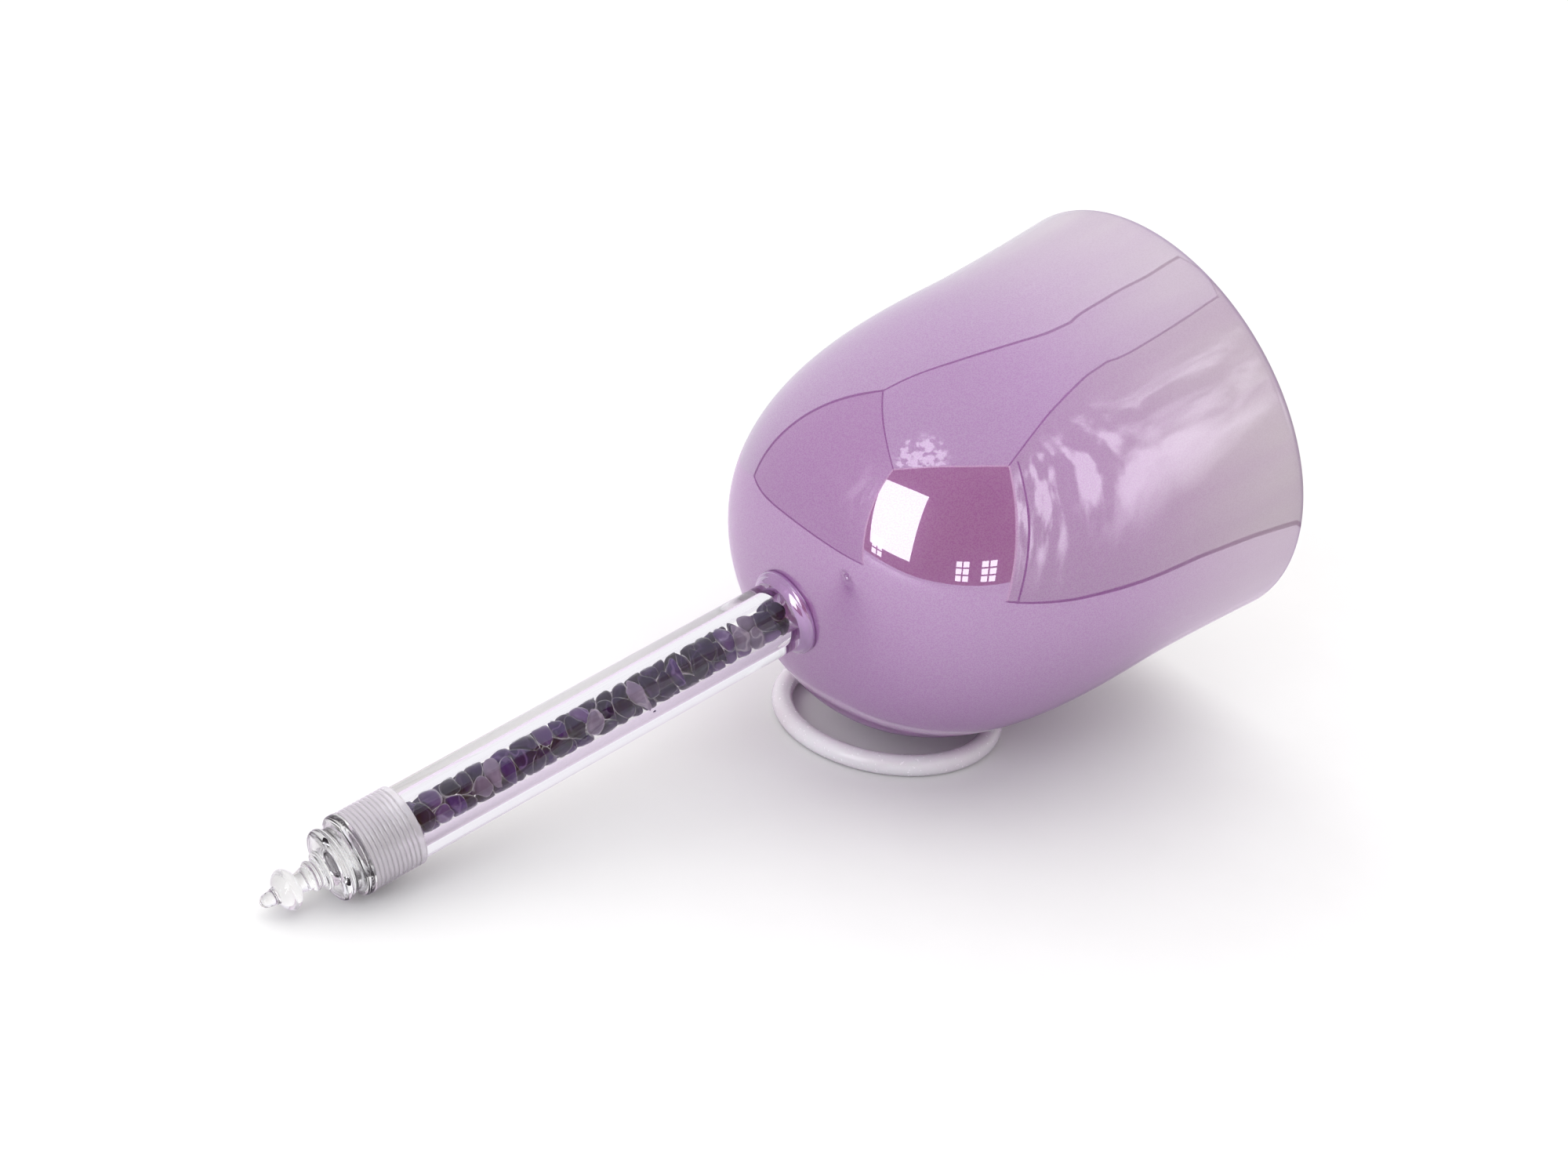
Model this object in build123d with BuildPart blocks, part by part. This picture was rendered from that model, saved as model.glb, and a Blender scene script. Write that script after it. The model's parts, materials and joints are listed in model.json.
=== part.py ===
from build123d import *
import math
import os
import random

# Handheld singing bowl: a thin coated bowl on a clear tube handle filled with tumbled chips.
#
# The bowl lies on its side. The dome of the bowl rests in a soft ring, the stopper's flange
# touches the table, and the mouth points up and away from the handle.
#
# Millimetres. +Z is up and z = 0 is the table. +X runs from the handle's tip to the mouth.
# The origin is on the table, under the middle of the whole object. "Along" is the distance
# from the plane of the rim, down the bowl's own axis towards the tip of the handle.

# Bowl
bowl_radius = 76.6          # where the straight wall meets the dome
mouth_flare = 2.9           # how far the rim opens out beyond that
mouth_curve = 1.4           # 1 would be a straight cone, 2 an arc
mouth_depth = 54.4          # from the rim to the start of the dome
dome_depth = 112.4
dome_squareness = 2.80      # 2 is an ellipse, more is squarer
bowl_wall = 3.0

# Handle tube
tube_radius = 12.5
tube_bore_radius = 6.4       # a thick wall: the clear band each side of the filling is glass
tube_end = 337.8            # along

# Sleeve and end ring on the tube
sleeve_start = 319.2        # along
sleeve_radius = 13.6
rib_count = 10
rib_pitch = 1.6
rib_depth = 0.4
end_ring_radius = 13.75
end_ring_thickness = 3.5

# Stopper
spigot_radius = 5.8
spigot_length = 8.4         # inside the tube and its end ring
flange_radius = 12.2
flange_edge_radius = 2.3
gasket_thickness = 1.9
gasket_radius = 10.9
seal_section_radius = 1.1
seal_count = 2
seal_pitch = 3.4
seal_clearance = 0.05
knob_radius = 6.9
knob_half_length = 4.0
overall_length = 371.0      # along, from the rim to the tip

# Rest ring
rest_ring_radius = 38.2     # to the middle of its section
rest_ring_section = 3.8
rest_ring_flat = 0.12       # how far the section is flattened where it stands
rest_ring_ahead = 8.0        # the ring's centre, tipwards of the dome's lowest point
rest_ring_aside = 3.5       # and to one side of the axis, because the ring is loose

# Chip filling
chip_spacing = 4.3
chip_gap = 0.13             # left between neighbours, on each side
chip_wall_gap = 0.3
chip_travel = 3.0           # how far the loose filling can slide back towards the bowl
chip_fill_height = 3.5      # how far above the bore's axis the chips' centres reach
chip_long_radius = (3.8, 5.6)
chip_short_radius = (2.6, 3.6)
chip_facets = 16
chip_tries = 9000
chip_seed = 21

# How the bowl lies
tilt = 15.5                 # degrees that the axis falls towards the tip
weld_gap = 0.02

tilt_cos = math.cos(math.radians(tilt))
tilt_sin = math.sin(math.radians(tilt))
tip_direction = Vector(-tilt_cos, 0, -tilt_sin)
lip_radius = bowl_wall / 2
apex = mouth_depth + dome_depth
seat = tube_end + end_ring_thickness
flange_start = seat + weld_gap + gasket_thickness
flange_middle = flange_start + flange_edge_radius + 0.3

# The flange's rounded edge touches the table, and the object is centred on x = 0
rim_height = (
    flange_middle * tilt_sin
    + (flange_radius - flange_edge_radius) * tilt_cos
    + flange_edge_radius
)
rim_x = (overall_length * tilt_cos - (bowl_radius + mouth_flare) * tilt_sin) / 2
rim_centre = Vector(rim_x, 0, rim_height)
bowl_axis = Axis(rim_centre, tip_direction)
profile_plane = Plane(origin=rim_centre, x_dir=tip_direction, z_dir=(0, 1, 0))


def axis_point(along):
    return rim_centre + tip_direction * along


def section_plane(along):
    """A plane across the handle, facing the tip."""
    return Plane(origin=axis_point(along), x_dir=(0, 1, 0), z_dir=tip_direction)


def dome_point(degrees, inset):
    """A point on the dome's outline, from 0 at its widest to 90 at its apex."""
    angle = math.radians(degrees)
    power = 2 / dome_squareness
    along = mouth_depth + (dome_depth - inset) * math.sin(angle) ** power
    return along, (bowl_radius - inset) * math.cos(angle) ** power


def bowl_outline(inset):
    """Points from the rim to the apex on the bowl's outside, moved in by the inset."""
    mouth_points = [
        (along, bowl_radius - inset + mouth_flare * (1 - along / mouth_depth) ** mouth_curve)
        for along in (lip_radius, 9, 18, 27, 36, 45)
    ]
    dome_points = [dome_point(degrees, inset) for degrees in range(0, 84, 7)]
    return mouth_points + dome_points + [(apex - inset, 0)]


# The bowl, one blown shell with a rounded lip
outside_points = bowl_outline(0)
inside_points = bowl_outline(bowl_wall)
with BuildPart() as bowl_shell:
    with BuildSketch(profile_plane):
        with BuildLine():
            Spline(*outside_points)
            Line(outside_points[-1], inside_points[-1])
            Spline(*inside_points)
            middle_radius = (outside_points[0][1] + inside_points[0][1]) / 2
            ThreePointArc(inside_points[0], (0, middle_radius), outside_points[0])
        make_face()
    revolve(axis=bowl_axis)
bowl_shell.part.label = "bowl_shell"

# The handle tube, cut from drawn tube and fused to the dome
tube_start = apex + weld_gap
with BuildPart() as handle_tube:
    with BuildSketch(section_plane(tube_start)):
        Circle(tube_radius)
        Circle(tube_bore_radius, mode=Mode.SUBTRACT)
    extrude(amount=tube_end - tube_start)
handle_tube.part.label = "handle_tube"

# The bead of glass where the tube is fused to the dome
bead_foot = 15.2            # the bead's largest radius on the dome
bead_length = 4.6
bead_dome_gap = 0.35
bead_bottom = apex - bead_dome_gap
bead_top = bead_bottom + bead_length
with BuildPart() as root_bead:
    with BuildSketch(profile_plane):
        with BuildLine():
            foot = (bead_bottom + 0.15, bead_foot)
            shoulder = (bead_bottom + 2.6, 14.3)
            Line((bead_bottom + 0.5, tube_radius), foot)
            ThreePointArc(foot, (bead_bottom + 1.3, bead_foot + 0.15), shoulder)
            ThreePointArc(shoulder, (bead_bottom + 3.9, 13.4), (bead_top, tube_radius))
            Line((bead_top, tube_radius), (bead_bottom + 0.5, tube_radius))
        make_face()
    revolve(axis=bowl_axis)
root_bead.part.label = "root_bead"

# The ribbed silicone sleeve over the end of the tube
sleeve_end = tube_end - weld_gap
sleeve_root = sleeve_radius - rib_depth
ribs_start = sleeve_end - rib_count * rib_pitch
with BuildPart() as ribbed_sleeve:
    with BuildSketch(profile_plane):
        with BuildLine():
            lip_start = (sleeve_start, tube_radius)
            Line(lip_start, (sleeve_start, tube_radius + 0.3))
            ThreePointArc(
                (sleeve_start, tube_radius + 0.3),
                (sleeve_start + 0.35, sleeve_radius - 0.25),
                (sleeve_start + 1.2, sleeve_radius),
            )
            Line((sleeve_start + 1.2, sleeve_radius), (ribs_start - 0.3, sleeve_radius))
            Line((ribs_start - 0.3, sleeve_radius), (ribs_start, sleeve_root))
            for rib in range(rib_count):
                rib_start = ribs_start + rib * rib_pitch
                ThreePointArc(
                    (rib_start, sleeve_root),
                    (rib_start + rib_pitch / 2, sleeve_radius),
                    (rib_start + rib_pitch, sleeve_root),
                )
            Line((sleeve_end, sleeve_root), (sleeve_end, tube_radius))
            Line((sleeve_end, tube_radius), lip_start)
        make_face()
    revolve(axis=bowl_axis)
ribbed_sleeve.part.label = "ribbed_sleeve"

# The clear end ring, fused on the mouth of the tube
with BuildPart() as end_ring:
    with BuildSketch(section_plane(tube_end)):
        Circle(end_ring_radius)
        Circle(tube_bore_radius, mode=Mode.SUBTRACT)
    extrude(amount=end_ring_thickness)
    outer_edges = end_ring.edges().filter_by(GeomType.CIRCLE).group_by(SortBy.RADIUS)[-1]
    tube_side_edge, tip_side_edge = outer_edges.sort_by(bowl_axis)
    fillet(tube_side_edge, radius=0.5)
    fillet(tip_side_edge, radius=1.5)
end_ring.part.label = "end_ring"

# The gasket under the stopper's flange
gasket_start = seat + weld_gap
with BuildPart() as stopper_gasket:
    with BuildSketch(section_plane(gasket_start)):
        Circle(gasket_radius)
        Circle(spigot_radius, mode=Mode.SUBTRACT)
    extrude(amount=gasket_thickness - weld_gap)
    gasket_edges = stopper_gasket.edges().filter_by(GeomType.CIRCLE)
    fillet(gasket_edges.group_by(SortBy.RADIUS)[-1], radius=0.6)
stopper_gasket.part.label = "stopper_gasket"

# The stopper, turned in one piece: spigot, flange, step, cove, bead, neck, knob and tip
spigot_end = seat - spigot_length
flange_end = flange_middle + flange_edge_radius
flange_rounding = flange_radius - flange_edge_radius
knob_middle = flange_middle + 16.0
knob_start = knob_middle - knob_half_length + 0.35
knob_end = knob_middle + knob_half_length - 0.5
tip_radius = 2.2
tip_shoulder = overall_length - tip_radius
seal_radius = tube_bore_radius - seal_clearance - seal_section_radius
groove_radius = seal_radius - seal_section_radius - weld_gap
groove_width = 2 * seal_section_radius + 0.3
first_groove = spigot_end + 1.1
with BuildPart() as stopper:
    with BuildSketch(profile_plane):
        with BuildLine():
            Polyline(
                (overall_length, 0),
                (spigot_end, 0),
                (spigot_end, spigot_radius - 0.6),
                (spigot_end + 0.6, spigot_radius),
                (flange_start, spigot_radius),
                (flange_start, flange_rounding),
                (flange_middle - flange_edge_radius, flange_rounding),
            )
            ThreePointArc(
                (flange_middle - flange_edge_radius, flange_rounding),
                (flange_middle, flange_radius),
                (flange_end, flange_rounding),
            )
            Line((flange_end, flange_rounding), (flange_end + 0.9, 6.6))
            step_end = (flange_end + 2.2, 5.7)
            ThreePointArc((flange_end + 0.9, 6.6), (flange_end + 1.8, 6.5), step_end)
            cove_end = (flange_end + 3.9, 4.4)
            ThreePointArc(step_end, (flange_end + 2.8, 4.6), cove_end)
            bead_end = (flange_end + 6.1, 4.1)
            ThreePointArc(cove_end, (flange_end + 5.0, 5.1), bead_end)
            Line(bead_end, (knob_start, 3.1))
            knob_top = (knob_middle, knob_radius)
            ThreePointArc((knob_start, 3.1), (knob_middle - 2.3, 5.7), knob_top)
            ThreePointArc(knob_top, (knob_middle + 2.4, 5.4), (knob_end, 2.9))
            Line((knob_end, 2.9), (tip_shoulder, tip_radius))
            tip_slant = tip_radius * math.sqrt(0.5)
            ThreePointArc(
                (tip_shoulder, tip_radius),
                (tip_shoulder + tip_slant, tip_slant),
                (overall_length, 0),
            )
        make_face()
    revolve(axis=bowl_axis)
    for groove in range(seal_count):
        with BuildSketch(section_plane(first_groove + groove * seal_pitch)):
            Circle(spigot_radius + 1)
            Circle(groove_radius, mode=Mode.SUBTRACT)
        extrude(amount=groove_width, mode=Mode.SUBTRACT)
stopper.part.label = "stopper"

# The two seals in the spigot's grooves
with BuildPart() as stopper_seals:
    for groove in range(seal_count):
        seal_middle = first_groove + groove * seal_pitch + groove_width / 2
        with BuildSketch(profile_plane):
            with Locations((seal_middle, seal_radius)):
                Circle(seal_section_radius)
        revolve(axis=bowl_axis)
stopper_seals.part.label = "stopper_seals"

# The rest ring, a solid ring with a narrow flat where it stands
def dome_low_x():
    """X of the dome's lowest point, found in steps of a tenth of a degree."""
    lowest = (rim_height, rim_x)
    for step in range(1, 900):
        along, radius = dome_point(step / 10, 0)
        height = rim_height - along * tilt_sin - radius * tilt_cos
        lowest = min(lowest, (height, rim_x - along * tilt_cos + radius * tilt_sin))
    return lowest[1]


rest_ring_x = dome_low_x() - rest_ring_ahead
rest_ring_height = rest_ring_section - rest_ring_flat
with BuildPart() as rest_ring:
    with BuildSketch(Plane.XZ.offset(-rest_ring_aside)):
        with Locations((rest_ring_x + rest_ring_radius, rest_ring_height)):
            Circle(rest_ring_section)
    revolve(axis=Axis((rest_ring_x, rest_ring_aside, 0), (0, 0, 1)))
    split(bisect_by=Plane.XY, keep=Keep.TOP)
rest_ring.part.label = "rest_ring"

# The chips: each is a facetted stone, cut back from its neighbours, the bore and the ends
fill_start = apex + chip_travel + chip_wall_gap
fill_end = spigot_end - 0.6


def random_direction(dice):
    height = dice.uniform(-1, 1)
    turn = dice.uniform(0, 2 * math.pi)
    width = math.sqrt(1 - height * height)
    return Vector(width * math.cos(turn), width * math.sin(turn), height)


def scatter_chips(dice):
    """Chip centres in the bore's own frame: across, up and along, none too close."""
    places = []
    reach = tube_bore_radius - chip_wall_gap - 1.9
    for _ in range(chip_tries):
        across = dice.uniform(-reach, reach)
        up = dice.uniform(-reach, chip_fill_height)
        along = dice.uniform(fill_start + 2.2, fill_end - 2.2)
        if math.hypot(across, up) > reach:
            continue
        place = Vector(across, up, along)
        if all((place - other).length > chip_spacing for other in places):
            places.append(place)
    return places


def chip_cuts(place, places, dice):
    """Each cut is a distance from the chip's centre and the direction it faces."""
    cuts = []
    for other in places:
        apart = other - place
        if 0 < apart.length < 2.6 * chip_spacing:
            cuts.append((apart.length / 2 - chip_gap, apart.normalized()))
    for step in range(20):
        turn = 2 * math.pi * step / 20
        outward = Vector(math.cos(turn), math.sin(turn), 0)
        wall = tube_bore_radius - chip_wall_gap
        cuts.append((wall - place.dot(outward), outward))
    cuts.append((place.Z - fill_start, Vector(0, 0, -1)))
    cuts.append((fill_end - place.Z, Vector(0, 0, 1)))
    long_radius = dice.uniform(*chip_long_radius)
    short_radius = dice.uniform(*chip_short_radius)
    grain = random_direction(dice)
    for _ in range(chip_facets):
        facing = random_direction(dice)
        length_share = facing.dot(grain) ** 2
        radius = long_radius * length_share + short_radius * (1 - length_share)
        cuts.append((radius, facing))
    return cuts


across_direction = Vector(0, 1, 0)
up_direction = tip_direction.cross(across_direction)


def in_bore_frame(vector):
    return (
        across_direction * vector.X
        + up_direction * vector.Y
        + tip_direction * vector.Z
    )


def make_chip(place, cuts):
    """A block trimmed by every cut that still reaches it."""
    centre = rim_centre + in_bore_frame(place)
    with BuildPart(Plane(origin=centre)) as chip:
        Box(2 * chip_long_radius[1], 2 * chip_long_radius[1], 2 * chip_long_radius[1])
        for distance, facing in sorted(cuts, key=lambda cut: cut[0]):
            normal = in_bore_frame(facing)
            face_point = centre + normal * distance
            reach = max((corner.center() - face_point).dot(normal) for corner in chip.vertices())
            if reach > 0.02:
                cut_plane = Plane(origin=face_point, z_dir=normal)
                split(bisect_by=cut_plane, keep=Keep.BOTTOM)
    return chip.part


dice = random.Random(chip_seed)
chip_places = scatter_chips(dice)
chip_shades = {
    "deep_amethyst_chips": 0.50,
    "violet_amethyst_chips": 0.28,
    "lilac_amethyst_chips": 0.14,
    "milky_quartz_chips": 0.08,
}
chips_by_shade = {shade: [] for shade in chip_shades}
for place in chip_places:
    shade = dice.choices(list(chip_shades), weights=list(chip_shades.values()))[0]
    chips_by_shade[shade].append(make_chip(place, chip_cuts(place, chip_places, dice)))

os.makedirs("parts", exist_ok=True)
for finished in (
    rest_ring,
    bowl_shell,
    root_bead,
    handle_tube,
    ribbed_sleeve,
    end_ring,
    stopper_gasket,
    stopper,
    stopper_seals,
):
    export_step(finished.part, f"parts/{finished.part.label}.step")

for shade, chips in chips_by_shade.items():
    with BuildPart() as shade_group:
        add(chips)
    shade_group.part.label = shade
    export_step(shade_group.part, f"parts/{shade}.step")
    print(shade, len(chips))
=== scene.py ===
# %% [markdown]
# # A handheld singing bowl
#
# The real object is a thin quartz bowl on a clear tube handle. The bowl has a pearly lilac
# coating, the tube is filled with tumbled amethyst chips, and a turned glass stopper closes it.
# The bowl lies with its dome in a soft ring.
#
# The CAD frame fixes every place and size. This script turns the round pieces again with many
# more steps, because glass shows every facet, tumbles the chips smooth, and gives each piece
# its finish. Lengths are in millimetres until a mesh is made, which is in metres.

# %% Load the frame
import json
import math

import bmesh
import bpy
from mathutils import Matrix, Vector


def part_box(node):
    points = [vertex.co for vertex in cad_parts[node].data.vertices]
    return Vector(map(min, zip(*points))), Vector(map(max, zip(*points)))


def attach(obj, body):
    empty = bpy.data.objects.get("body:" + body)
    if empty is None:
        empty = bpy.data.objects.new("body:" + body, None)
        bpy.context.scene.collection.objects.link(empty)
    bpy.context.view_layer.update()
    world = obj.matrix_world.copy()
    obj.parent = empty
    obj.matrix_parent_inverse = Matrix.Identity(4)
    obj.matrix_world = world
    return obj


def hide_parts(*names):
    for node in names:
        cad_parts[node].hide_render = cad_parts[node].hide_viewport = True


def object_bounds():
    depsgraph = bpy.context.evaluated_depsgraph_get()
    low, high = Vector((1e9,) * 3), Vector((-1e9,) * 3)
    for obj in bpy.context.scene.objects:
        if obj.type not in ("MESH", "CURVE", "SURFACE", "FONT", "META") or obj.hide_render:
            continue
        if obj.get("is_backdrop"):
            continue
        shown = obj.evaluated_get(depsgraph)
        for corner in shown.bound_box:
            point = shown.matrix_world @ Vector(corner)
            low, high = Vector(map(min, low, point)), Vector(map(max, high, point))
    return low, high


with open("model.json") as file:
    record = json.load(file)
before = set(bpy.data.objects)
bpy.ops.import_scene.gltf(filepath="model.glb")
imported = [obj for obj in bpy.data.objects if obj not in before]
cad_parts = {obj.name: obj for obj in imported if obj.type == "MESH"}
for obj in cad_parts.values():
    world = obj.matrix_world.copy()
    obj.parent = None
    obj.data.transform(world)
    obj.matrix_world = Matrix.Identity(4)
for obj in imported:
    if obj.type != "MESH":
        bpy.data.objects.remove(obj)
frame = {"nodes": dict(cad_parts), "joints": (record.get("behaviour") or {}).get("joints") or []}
cad_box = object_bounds()
scene = bpy.context.scene
MM = 0.001
print("pieces in the frame:", ", ".join(sorted(frame["nodes"])))

# %% [markdown]
# ## The bowl's own axis
#
# Everything but the rest ring is round about one tilted axis. The frame knows that axis: it is
# the way the stopper pulls out, and it runs through the middle of the handle tube. Places on
# the axis are given as "along", the distance from the plane of the rim towards the tip.

# %% Find the axis
mouth_depth = 54.4
dome_depth = 112.4
apex = mouth_depth + dome_depth
tube_end = 337.8

pull = next(joint for joint in frame["joints"] if joint["name"] == "stopper_pull")
tip_direction = Vector(pull["axis"]).normalized()
tube_low, tube_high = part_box("handle_tube")
rim_centre = (tube_low + tube_high) / 2 - tip_direction * (apex + tube_end) / 2 * MM
axis_turn = tip_direction.to_track_quat("Z", "Y").to_euler()
print("centre of the rim:", [round(part, 4) for part in rim_centre])

# %% [markdown]
# ## The camera
#
# The camera stands in front, towards the handle's end, and looks down at the bowl. It is rolled
# a little, as a hand-held camera is. A lens longer than normal keeps the bowl's round shape from
# swelling towards the viewer.

# %% Place the camera
look_at = Vector((-0.009, -0.015, 0.080))
camera_distance = 0.8765
camera_azimuth = math.radians(42.3)
camera_elevation = math.radians(27.7)
camera_roll = math.radians(8.2)

away = Vector((
    -math.sin(camera_azimuth) * math.cos(camera_elevation),
    -math.cos(camera_azimuth) * math.cos(camera_elevation),
    math.sin(camera_elevation),
))
camera = bpy.data.objects.new("camera", bpy.data.cameras.new("camera"))
camera.data.lens = 61.6
camera.location = look_at + away * camera_distance
camera_turn = (-away).to_track_quat("-Z", "Y").to_matrix() @ Matrix.Rotation(camera_roll, 3, "Z")
camera.rotation_euler = camera_turn.to_euler()
scene.collection.objects.link(camera)
scene.camera = camera
scene.view_settings.view_transform = "Standard"
print("camera at", [round(part, 3) for part in camera.location])

# %% [markdown]
# ## One helper for every node
#
# Both Geometry Nodes and materials are trees of nodes. This helper makes a node, sets its
# options, and fills its inputs: an input that is given a socket is linked, and an input that is
# given a value is set.


# %% Make a node
def put(tree, kind, inputs=None, **options):
    node = tree.nodes.new(kind)
    for name, value in options.items():
        setattr(node, name, value)
    for name, value in (inputs or {}).items():
        if isinstance(value, bpy.types.NodeSocket):
            tree.links.new(value, node.inputs[name])
        else:
            node.inputs[name].default_value = value
    return node


def calculate(tree, operation, first, second=0.0):
    """One sum, product or other operation on two sockets or numbers."""
    return put(tree, "ShaderNodeMath", {0: first, 1: second}, operation=operation).outputs[0]


def blend_colours(tree, share, first, second, mode="MIX"):
    """The first colour where the share is 0, and the second where it is 1."""
    given = {0: share, 6: first, 7: second}
    return put(tree, "ShaderNodeMix", given, data_type="RGBA", blend_type=mode).outputs[2]


def smooth_step(tree, value, low, high):
    """0 below the low value, 1 above the high one, and a smooth rise between them."""
    limits = {"Value": value, "From Min": low, "From Max": high}
    step = put(tree, "ShaderNodeMapRange", limits, interpolation_type="SMOOTHSTEP")
    return step.outputs["Result"]


# %% [markdown]
# ## Studio light
#
# Coated glass is mostly a picture of the room around it, so the light is made in two layers.
# This first one is a big soft dome of white light, about three times as strong behind and above
# the bowl as in front. It lights the floor and everything matt, and a ray that comes straight
# from the camera sees it as plain white.


# %% Paint the world
def direction(azimuth, elevation):
    """A unit vector. Azimuth 0 is -Y and 90 is +X; elevation is up from the floor."""
    turn = math.radians(azimuth)
    rise = math.radians(elevation)
    return Vector((
        math.sin(turn) * math.cos(rise),
        -math.cos(turn) * math.cos(rise),
        math.sin(rise),
    ))


clear_white = (1, 1, 1, 1)
brightest_side = direction(150, 50)
dome_front = (0.60, 0.58, 0.61, 1)
dome_back = (1.85, 1.83, 1.83, 1)

world = bpy.data.worlds.new("studio")
world.use_nodes = True
scene.world = world
sky = world.node_tree
sky.nodes.clear()
facing = put(sky, "ShaderNodeTexCoord").outputs["Generated"]
facing_back = put(
    sky, "ShaderNodeVectorMath", {0: facing, 1: brightest_side}, operation="DOT_PRODUCT"
).outputs["Value"]
dome_colour = blend_colours(sky, smooth_step(sky, facing_back, 0.0, 0.95), dome_front, dome_back)
seen_directly = put(sky, "ShaderNodeLightPath").outputs["Is Camera Ray"]
shown = blend_colours(sky, seen_directly, dome_colour, clear_white)
background = put(sky, "ShaderNodeBackground", {"Color": shown})
put(sky, "ShaderNodeOutputWorld", {"Surface": background.outputs[0]})
print("the dome has", len(sky.nodes), "nodes")

# %% [markdown]
# ## The floor
#
# The floor is a sheet of white paper, so bright that only the soft shadows show on it. Real
# paper has one colour, but this has one for the camera and duller ones for every other ray:
# pinkish in mirror images, and grey for the light it throws back and through glass. That keeps
# the coating's colour deep and the shadows from filling in. It is a choice of look.


# %% Lay the floor
def new_piece(name, mesh):
    piece = bpy.data.objects.new(name, mesh)
    scene.collection.objects.link(piece)
    return piece


def start_material(name):
    material = bpy.data.materials.new(name)
    material.use_nodes = True
    material.node_tree.nodes.clear()
    return material, material.node_tree


def end_material(tree, kind, inputs):
    shader = put(tree, kind, inputs)
    put(tree, "ShaderNodeOutputMaterial", {"Surface": shader.outputs[0]})


def noise(tree, place, scale, detail=2.0, stretch=(1, 1, 1)):
    """Noise from about 0 to 1. A stretch under 1 draws the pattern out along that axis."""
    stretched = put(tree, "ShaderNodeMapping", {"Vector": place, "Scale": stretch}).outputs[0]
    inputs = {"Vector": stretched, "Scale": scale, "Detail": detail}
    return put(tree, "ShaderNodeTexNoise", inputs).outputs["Fac"]


def object_place(tree):
    return put(tree, "ShaderNodeTexCoord").outputs["Object"]


floor_reach = 6.0
around = [(-1, -1), (1, -1), (1, 1), (-1, 1)]
floor_mesh = bpy.data.meshes.new("floor")
floor_mesh.from_pydata([(x * floor_reach, y * floor_reach, 0) for x, y in around], [], [(0, 1, 2, 3)])
floor = new_piece("floor", floor_mesh)
paper, tree = start_material("white_paper")
fibres = noise(tree, object_place(tree), 30)
rays = put(tree, "ShaderNodeLightPath").outputs
seen = blend_colours(tree, fibres, (0.76, 0.76, 0.75, 1), (0.79, 0.79, 0.78, 1))
reflected = blend_colours(
    tree, rays["Is Diffuse Ray"], (0.66, 0.59, 0.68, 1), (0.66, 0.66, 0.66, 1)
)
mirrored = blend_colours(tree, rays["Is Transmission Ray"], reflected, (0.72, 0.72, 0.71, 1))
end_material(tree, "ShaderNodeBsdfDiffuse", {
    "Color": blend_colours(tree, rays["Is Camera Ray"], mirrored, seen),
})
floor_mesh.materials.append(paper)
floor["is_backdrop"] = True
print("floor reaches", floor_reach, "m each way")

# %% [markdown]
# ## The light tent
#
# The second layer is what the gloss and the glass see: a small cloth light tent, open at the
# front, with the dim room beyond. Its seams, folds and bright patches draw themselves in the
# coating. The tent is real geometry, because its walls are so near that their mirror image
# shifts from one end of the bowl to the other. It shows only in reflections and refractions, so
# it doesn't hide the object in other views and doesn't shade the floor.

# %% Pitch the tent
tent_facing = -40
tent_middle = Vector((-0.024, -0.028, 0))
tent_front = direction(tent_facing, 0)
tent_right = direction(tent_facing + 90, 0)
tent_width = 0.675
tent_depth = 0.645
tent_height = 0.73


def tent_point(ahead, aside, height):
    """A point in the tent: -1 to 1 from back to front and left to right, 0 to 1 upwards."""
    offset = tent_front * ahead * tent_depth / 2 + tent_right * aside * tent_width / 2
    return tent_middle + offset + Vector((0, 0, height * tent_height))


def show_in_gloss_only(piece):
    piece.visible_camera = False
    piece.visible_diffuse = False
    piece.visible_shadow = False
    piece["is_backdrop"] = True


def glowing_cloth(name, shade, folds_at, folds_reach, folds_glow):
    """Cloth that glows as it is lit, with a painted pool of brighter light on its folds about a point
    in the tent.
    """
    material, tree = start_material(name)
    place = object_place(tree)
    gap = put(
        tree, "ShaderNodeVectorMath", {0: place, 1: tent_point(*folds_at)}, operation="DISTANCE"
    ).outputs["Value"]
    # Painted light: a patch of brighter glow where light falls on the crumpled folds.
    lit_patch = smooth_step(tree, gap, folds_reach, folds_reach * 0.2)
    creases = smooth_step(tree, noise(tree, place, 24, 5, (1, 1, 0.25)), 0.44, 0.68)
    folds = calculate(tree, "MULTIPLY", calculate(tree, "MULTIPLY", lit_patch, creases), folds_glow)
    slow = noise(tree, place, 4, 1)
    dim = blend_colours(tree, slow, (*(part * 0.86 for part in shade[:3]), 1), shade)
    glow = blend_colours(tree, folds, dim, (1.0, 0.97, 1.08, 1), "ADD")
    end_material(tree, "ShaderNodeEmission", {"Color": glow})
    return material


def hang_panel(name, corners, cloth):
    mesh = bpy.data.meshes.new(name)
    mesh.from_pydata([tuple(tent_point(*corner)) for corner in corners], [], [(0, 1, 2, 3)])
    mesh.materials.append(cloth)
    show_in_gloss_only(new_piece(name, mesh))


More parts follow.
